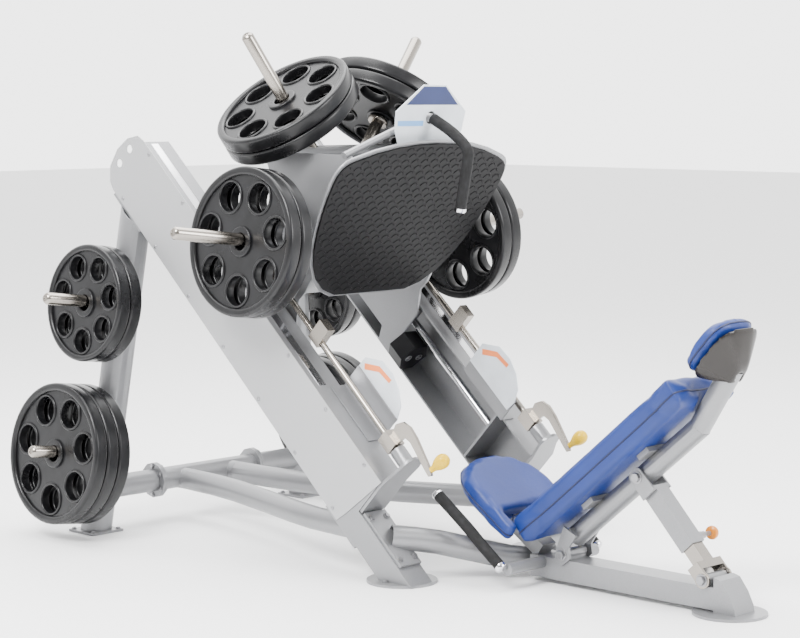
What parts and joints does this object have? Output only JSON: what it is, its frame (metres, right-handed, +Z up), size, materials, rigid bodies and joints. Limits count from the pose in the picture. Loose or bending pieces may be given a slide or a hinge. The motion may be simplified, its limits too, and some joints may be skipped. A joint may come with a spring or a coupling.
{
  "type": "leg press machine",
  "caption": "Plate-loaded angled leg press with sliding foot-plate carriage, safety stop levers, adjustable backrest and weight storage pegs.",
  "frame": {"origin": "On the floor, under the centre of the machine's bounding box.", "axes": "+X along the length, from the weight end towards the backrest; +Y across the machine, towards the pull pin of the backrest strut; +Z up."},
  "size_m": [2.4587, 1.5224, 1.5863],
  "materials": {
    "frame_paint": "silver grey powder coat",
    "cover_paint": "light grey matte sheet",
    "nickel": "warm nickel plated steel",
    "chrome": "ground and chromed shaft",
    "plate_black": "cast iron with a black rubbery satin coat",
    "mat_rubber": "black tread rubber",
    "grip_foam": "black foam grip",
    "bumper_urethane": "black urethane",
    "vinyl": "blue satin vinyl upholstery",
    "shell_plastic": "dark taupe gloss moulding",
    "knob_plastic": "yellow moulding",
    "placard_plastic": "white plastic sheet"
  },
  "bodies": {
    "base_frame": {"rail_right": "frame_paint", "rail_left": "frame_paint", "rail_cover_right": "cover_paint", "rail_cover_left": "cover_paint", "rail_end_plate_right": "frame_paint", "rail_end_plate_left": "frame_paint", "guide_rod_right": "chrome", "guide_rod_left": "chrome", "rear_post_right": "frame_paint", "rear_post_left": "frame_paint", "side_tube_right": "frame_paint", "side_tube_left": "frame_paint", "horn_rear_upper_right": "nickel", "horn_rear_upper_left": "nickel", "horn_rear_lower_right": "nickel", "horn_rear_lower_left": "nickel", "seat_handle_right": "grip_foam", "seat_handle_left": "grip_foam", "rod_guard_right": "frame_paint", "rod_guard_left": "frame_paint", "stop_placard_right": "placard_plastic", "stop_placard_left": "placard_plastic", "rear_spreader": "frame_paint", "front_cross_tube": "frame_paint", "seat_beam": "frame_paint", "seat_pad": "vinyl"},
    "carriage": {"carriage_frame": "frame_paint", "foot_plate": "frame_paint", "foot_mat": "mat_rubber", "carriage_placard": "placard_plastic", "pull_handle": "grip_foam", "bearing_block_right": "frame_paint", "bearing_block_left": "frame_paint", "bumper_right": "bumper_urethane", "bumper_left": "bumper_urethane", "horn_top_right": "nickel", "horn_top_left": "nickel", "horn_side_right": "nickel", "horn_side_left": "nickel"},
    "backrest": {"backrest_tube": "frame_paint", "backrest_pad": "vinyl", "headrest_pad": "vinyl", "headrest_shell": "shell_plastic"},
    "strut_sleeve": {"strut_outer": "frame_paint"},
    "strut_slider": {"strut_inner": "nickel"},
    "pull_pin_body": {"pull_pin": "knob_plastic"},
    "stop_right": {"stop_lever_right": "nickel", "stop_knob_right": "knob_plastic"},
    "weights_top_right": {"plates_top_right": "plate_black"},
    "weights_side_right": {"plates_side_right": "plate_black"},
    "weights_rear_upper_right": {"plates_rear_upper_right": "plate_black"},
    "weights_rear_lower_right": {"plates_rear_lower_right": "plate_black"},
    "stop_left": {"stop_lever_left": "nickel", "stop_knob_left": "knob_plastic"},
    "weights_top_left": {"plates_top_left": "plate_black"},
    "weights_side_left": {"plates_side_left": "plate_black"},
    "weights_rear_upper_left": {"plates_rear_upper_left": "plate_black"},
    "weights_rear_lower_left": {"plates_rear_lower_left": "plate_black"}
  },
  "joints": [
    {"name": "carriage_slide", "type": "slide", "parent": "base_frame", "child": "carriage", "axis": [-0.7349, 0, 0.6782], "range_m": [-0.265, 0.42]},
    {"name": "stop_turn_right", "type": "hinge", "parent": "base_frame", "child": "stop_right", "pos_m": [0.1449, 0.308, 0.4063], "axis": [-0.7349, 0, 0.6782], "range_deg": [0, 90]},
    {"name": "stop_turn_left", "type": "hinge", "parent": "base_frame", "child": "stop_left", "pos_m": [0.1449, -0.308, 0.4063], "axis": [0.7349, 0, -0.6782], "range_deg": [0, 90]},
    {"name": "backrest_fold", "type": "hinge", "parent": "base_frame", "child": "backrest", "pos_m": [0.5802, 0, 0.093], "axis": [0, -1, 0], "range_deg": [-8, 4.5]},
    {"name": "strut_pivot", "type": "hinge", "parent": "backrest", "child": "strut_sleeve", "pos_m": [0.835, 0, 0.3447], "axis": [0, 1, 0], "range_deg": [-9, 5.5]},
    {"name": "strut_slide", "type": "slide", "parent": "strut_sleeve", "child": "strut_slider", "axis": [0.6843, 0, -0.7292], "range_m": [-0.052, 0.03]},
    {"name": "pin_pull", "type": "slide", "parent": "strut_sleeve", "child": "pull_pin_body", "axis": [0, 1, 0], "range_m": [0, 0.012], "stiffness_N_per_m": 600},
    {"name": "plates_top_right_slide", "type": "slide", "parent": "carriage", "child": "weights_top_right", "axis": [-0.0384, 0.5947, 0.803], "range_m": [0, 0.2]},
    {"name": "plates_top_left_slide", "type": "slide", "parent": "carriage", "child": "weights_top_left", "axis": [-0.0384, -0.5947, 0.803], "range_m": [0, 0.2]},
    {"name": "plates_side_right_slide", "type": "slide", "parent": "carriage", "child": "weights_side_right", "axis": [0, 0.9928, 0.1198], "range_m": [0, 0.22]},
    {"name": "plates_side_left_slide", "type": "slide", "parent": "carriage", "child": "weights_side_left", "axis": [0, -0.9928, 0.1198], "range_m": [0, 0.22]},
    {"name": "plates_rear_upper_right_slide", "type": "slide", "parent": "base_frame", "child": "weights_rear_upper_right", "axis": [0, 0.9928, 0.1198], "range_m": [0, 0.13]},
    {"name": "plates_rear_upper_left_slide", "type": "slide", "parent": "base_frame", "child": "weights_rear_upper_left", "axis": [0, -0.9928, 0.1198], "range_m": [0, 0.13]},
    {"name": "plates_rear_lower_right_slide", "type": "slide", "parent": "base_frame", "child": "weights_rear_lower_right", "axis": [0, 0.9928, 0.1198], "range_m": [0, 0.07]},
    {"name": "plates_rear_lower_left_slide", "type": "slide", "parent": "base_frame", "child": "weights_rear_lower_left", "axis": [0, -0.9928, 0.1198], "range_m": [0, 0.07]}
  ],
  "couplings": [
    {"joint": "strut_pivot", "follows": "backrest_fold", "ratio": 1},
    {"joint": "strut_slide", "follows": "backrest_fold", "m_per_rad": 0.3556}
  ]
}
